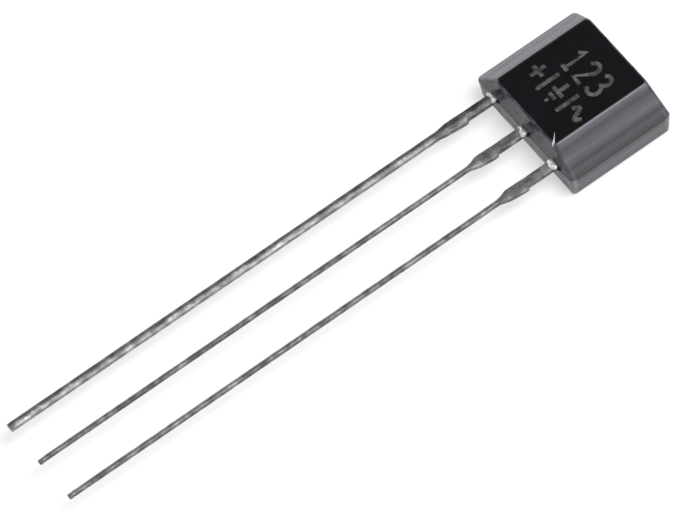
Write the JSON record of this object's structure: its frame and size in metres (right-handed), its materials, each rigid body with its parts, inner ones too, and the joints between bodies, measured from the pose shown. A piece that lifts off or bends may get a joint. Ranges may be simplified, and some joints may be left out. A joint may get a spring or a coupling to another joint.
{
  "type": "hall effect sensor",
  "caption": "Flat moulded Hall effect sensor with chamfered sides and a row of straight plated leads for a circuit board.",
  "frame": {"origin": "middle of the case's back face, which is the face it lies on", "axes": "+X runs across the leads, from the supply lead to the output lead; +Y runs along the leads, from their tips to the top of the case; +Z points out of the marked front face"},
  "size_m": [0.004, 0.0183, 0.0015],
  "materials": {
    "epoxy": "black silica-filled epoxy moulding compound, polished on the front and back and spark-eroded on the sides",
    "tinned_lead": "matt tin plating on a stamped copper alloy strip",
    "die_adhesive": "silver-filled epoxy adhesive",
    "silicon": "polished silicon",
    "gold_wire": "drawn gold wire"
  },
  "bodies": {
    "root": {"moulded_body": "epoxy", "lead_supply": "tinned_lead", "lead_ground": "tinned_lead", "lead_output": "tinned_lead", "die_attach": "die_adhesive", "sensor_die": "silicon", "bond_wire_supply": "gold_wire", "bond_wire_ground": "gold_wire", "bond_wire_output": "gold_wire"}
  },
  "joints": []
}
